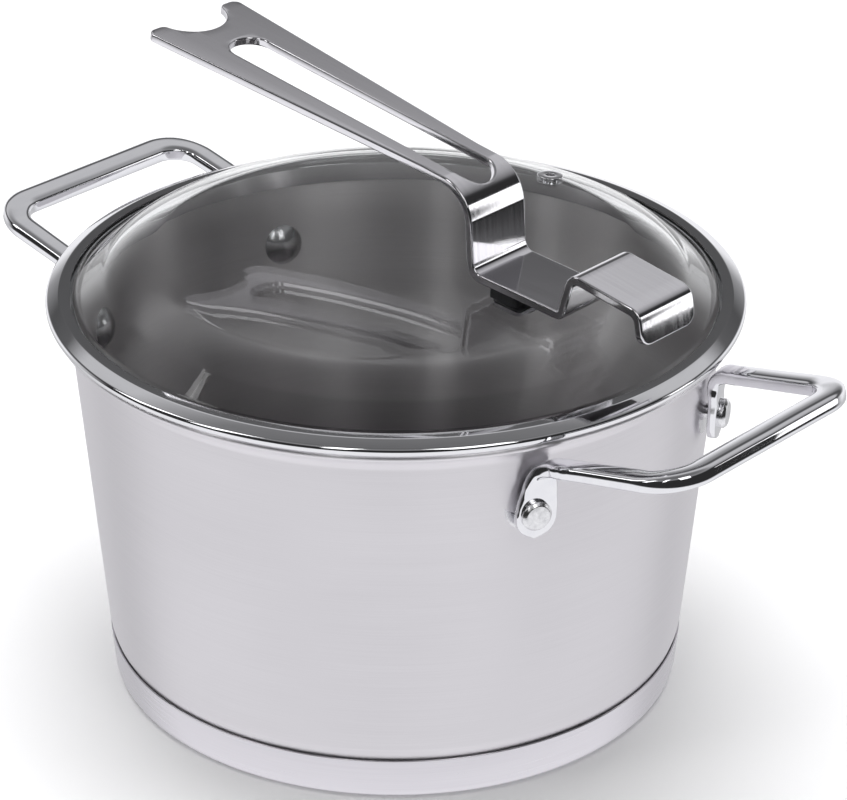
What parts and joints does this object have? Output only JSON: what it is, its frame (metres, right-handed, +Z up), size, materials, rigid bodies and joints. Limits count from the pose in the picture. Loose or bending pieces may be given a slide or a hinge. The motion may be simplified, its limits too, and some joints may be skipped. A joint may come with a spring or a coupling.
{
  "type": "two-handled cooking pot with glass lid",
  "caption": "Flared stainless cooking pot with riveted loop handles, an encapsulated base and a domed glass lid in a steel ring, carried by one bent steel strip.",
  "frame": {"origin": "centre of the base, on the surface the pot stands on", "axes": "+Z up; +X towards the front side handle, the side of the lid handle's hook; +Y completes the right-handed frame"},
  "size_m": [0.2864, 0.215, 0.1938],
  "materials": {
    "body_steel": "satin, brushed round the pot",
    "base_steel": "satin, brushed round the base",
    "core_aluminium": "plain",
    "handle_steel": "polished",
    "rivet_steel": "fine matt",
    "lid_glass": "clear, polished",
    "ring_steel": "polished",
    "strip_steel": "polished, with satin flats",
    "pad_rubber": "matt black",
    "fixing_steel": "plain turned"
  },
  "bodies": {
    "pot": {"pot_body": "body_steel", "base_cap": "base_steel", "base_core": "core_aluminium", "front_handle": "handle_steel", "back_handle": "handle_steel", "rivet_front_right": "rivet_steel", "rivet_front_left": "rivet_steel", "rivet_back_right": "rivet_steel", "rivet_back_left": "rivet_steel"},
    "lid": {"lid_glass": "lid_glass", "lid_ring": "ring_steel", "steam_vent_eyelet": "ring_steel", "lid_handle": "strip_steel", "handle_pad_upper": "pad_rubber", "handle_pad_lower": "pad_rubber", "clamp_plate": "fixing_steel", "threaded_boss": "fixing_steel", "handle_screw": "fixing_steel"}
  },
  "joints": [
    {"name": "lid_lift", "type": "slide", "parent": "pot", "child": "lid", "axis": [0, 0, 1], "range_m": [0, 0.12]}
  ]
}
